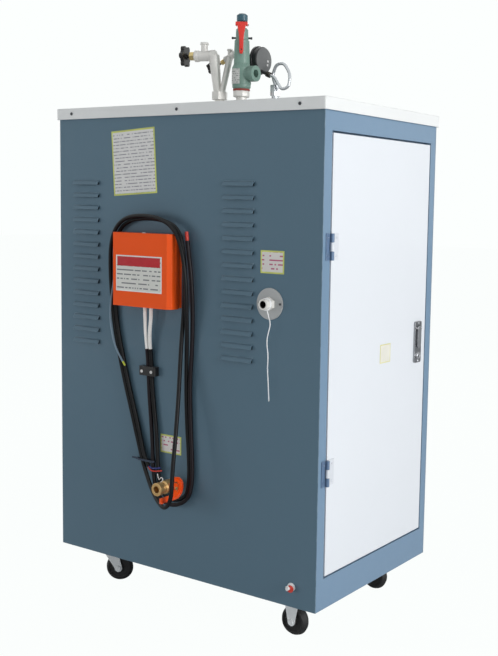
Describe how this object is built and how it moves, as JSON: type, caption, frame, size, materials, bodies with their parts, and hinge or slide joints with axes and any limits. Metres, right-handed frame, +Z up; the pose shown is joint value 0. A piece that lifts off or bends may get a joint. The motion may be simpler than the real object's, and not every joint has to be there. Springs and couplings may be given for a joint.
{
  "type": "industrial boiler",
  "caption": "Cabinet electric steam boiler on casters: louvred sheet housing with a hinged door, safety valve, pressure gauge and steam valves on top, inlet, drain and terminal box in front",
  "frame": {"origin": "on the floor under the middle of the object's plan", "axes": "+Z up, +X towards the door, -Y towards the wide side with the inlet, drain and terminal box"},
  "size_m": [0.9175, 0.6719, 1.643],
  "materials": {
    "blue_sheet": "blue-grey textured powder coat",
    "white_sheet": "white smooth powder coat",
    "dark_chrome": "dark chromed casting",
    "bright_chrome": "bright chrome",
    "pale_lid": "pale grey satin coat",
    "zinc": "zinc-plated pressed steel",
    "tyre": "black rubber tread on a black core",
    "drum_steel": "rolled steel with weld seams",
    "silver_pipe": "pale nickel-plated pipe",
    "green_casting": "grey-green enamel over cast iron",
    "teal_cap": "dark teal enamel",
    "red_lever": "bright red enamel",
    "gauge_case": "black enamelled steel",
    "black_plastic": "black moulded plastic",
    "brass": "cast and turned brass",
    "grey_plastic": "pale grey moulded plastic",
    "white_enamel": "white coated pipe",
    "orange_lever": "orange dipped vinyl",
    "orange_sheet": "orange powder coat",
    "white_cord": "white braided sleeve",
    "black_cable": "black rubber sheath",
    "red_core": "red insulated core",
    "blue_wire": "pale grey-blue wire sheath",
    "yellow_green_core": "yellow and green insulated core",
    "pale_nylon": "pale grey nylon"
  },
  "bodies": {
    "housing": {"bottom_pan": "blue_sheet", "front_panel": "blue_sheet", "rear_panel": "blue_sheet", "end_panel": "blue_sheet", "door_frame": "blue_sheet", "frame_hinges": "blue_sheet", "lid": "pale_lid", "fixed_caster_front": "zinc", "swivel_plate_front": "zinc", "fixed_caster_rear": "zinc", "swivel_plate_rear": "zinc", "drum_ring": "drum_steel", "drum_bottom_head": "drum_steel", "drum_shell": "drum_steel", "drum_top_head": "drum_steel", "safety_valve_pipe": "silver_pipe", "safety_valve_body": "green_casting", "safety_valve_bonnet": "green_casting", "safety_valve_cap": "teal_cap", "gauge_syphon": "silver_pipe", "pressure_gauge": "gauge_case", "gauge_coupling": "black_plastic", "steam_branch": "silver_pipe", "left_valve_bonnet": "brass", "right_valve_bonnet": "brass", "inlet_disc": "grey_plastic", "inlet_pipe": "white_enamel", "drain_valve": "brass", "earth_stud": "zinc", "terminal_box_tray": "orange_sheet", "terminal_box_cover": "orange_sheet", "cable_clamp": "black_plastic", "supply_sleeve_a": "white_cord", "supply_sleeve_b": "white_cord", "supply_cable_a": "black_cable", "supply_cable_b": "black_cable", "cable_core_a": "red_core", "cable_core_b": "red_core", "earth_wire": "blue_wire", "earth_wire_tip": "yellow_green_core", "inlet_string": "white_cord", "cable_tie": "pale_nylon"},
    "door": {"door": "white_sheet", "door_hinges": "blue_sheet", "lock_plate": "dark_chrome"},
    "lock_lever": {"lock_lever": "bright_chrome"},
    "safety_valve_lever": {"safety_valve_lever": "red_lever"},
    "left_handwheel": {"left_valve_handwheel": "black_plastic"},
    "right_handwheel": {"right_valve_handwheel": "black_plastic"},
    "drain_lever": {"drain_lever": "orange_lever"},
    "fixed_wheel_front": {"fixed_wheel_front": "tyre"},
    "swivel_fork_front": {"swivel_fork_front": "zinc"},
    "swivel_wheel_front": {"swivel_wheel_front": "tyre"},
    "fixed_wheel_rear": {"fixed_wheel_rear": "tyre"},
    "swivel_fork_rear": {"swivel_fork_rear": "zinc"},
    "swivel_wheel_rear": {"swivel_wheel_rear": "tyre"}
  },
  "joints": [
    {"name": "door_hinge", "type": "hinge", "parent": "housing", "child": "door", "pos_m": [0.45375, -0.20975, 0.458], "axis": [0, 0, -1], "range_deg": [0, 110]},
    {"name": "lock_lever_hinge", "type": "hinge", "parent": "door", "child": "lock_lever", "pos_m": [0.45505, 0.24125, 0.781], "axis": [0, -1, 0], "range_deg": [0, 35]},
    {"name": "safety_lever_hinge", "type": "hinge", "parent": "housing", "child": "safety_valve_lever", "pos_m": [-0.02525, 0.03875, 1.613], "axis": [-0.829, -0.5592, 0], "range_deg": [0, 30]},
    {"name": "left_handwheel_turn", "type": "hinge", "parent": "housing", "child": "left_handwheel", "pos_m": [-0.15509, 0.03048, 1.535], "axis": [-0.9613, -0.2756, 0], "continuous": true},
    {"name": "right_handwheel_turn", "type": "hinge", "parent": "housing", "child": "right_handwheel", "pos_m": [-0.09025, 0.06575, 1.532], "axis": [-0.9058, 0.0316, -0.4226], "continuous": true},
    {"name": "drain_lever_hinge", "type": "hinge", "parent": "housing", "child": "drain_lever", "pos_m": [-0.00425, -0.28575, 0.365], "axis": [-1, 0, 0], "range_deg": [0, 90]},
    {"name": "fixed_wheel_front_spin", "type": "hinge", "parent": "housing", "child": "fixed_wheel_front", "pos_m": [0.33275, -0.16375, 0.04], "axis": [0, 1, 0], "continuous": true},
    {"name": "swivel_front", "type": "hinge", "parent": "housing", "child": "swivel_fork_front", "pos_m": [-0.33725, -0.16375, 0.11], "axis": [0, 0, 1], "continuous": true},
    {"name": "swivel_wheel_front_spin", "type": "hinge", "parent": "swivel_fork_front", "child": "swivel_wheel_front", "pos_m": [-0.313, -0.14975, 0.04], "axis": [-0.5, 0.866, 0], "continuous": true},
    {"name": "fixed_wheel_rear_spin", "type": "hinge", "parent": "housing", "child": "fixed_wheel_rear", "pos_m": [0.33275, 0.24125, 0.04], "axis": [0, 1, 0], "continuous": true},
    {"name": "swivel_rear", "type": "hinge", "parent": "housing", "child": "swivel_fork_rear", "pos_m": [-0.33725, 0.24125, 0.11], "axis": [0, 0, 1], "continuous": true},
    {"name": "swivel_wheel_rear_spin", "type": "hinge", "parent": "swivel_fork_rear", "child": "swivel_wheel_rear", "pos_m": [-0.31431, 0.22519, 0.04], "axis": [0.5736, 0.8192, 0], "continuous": true}
  ]
}
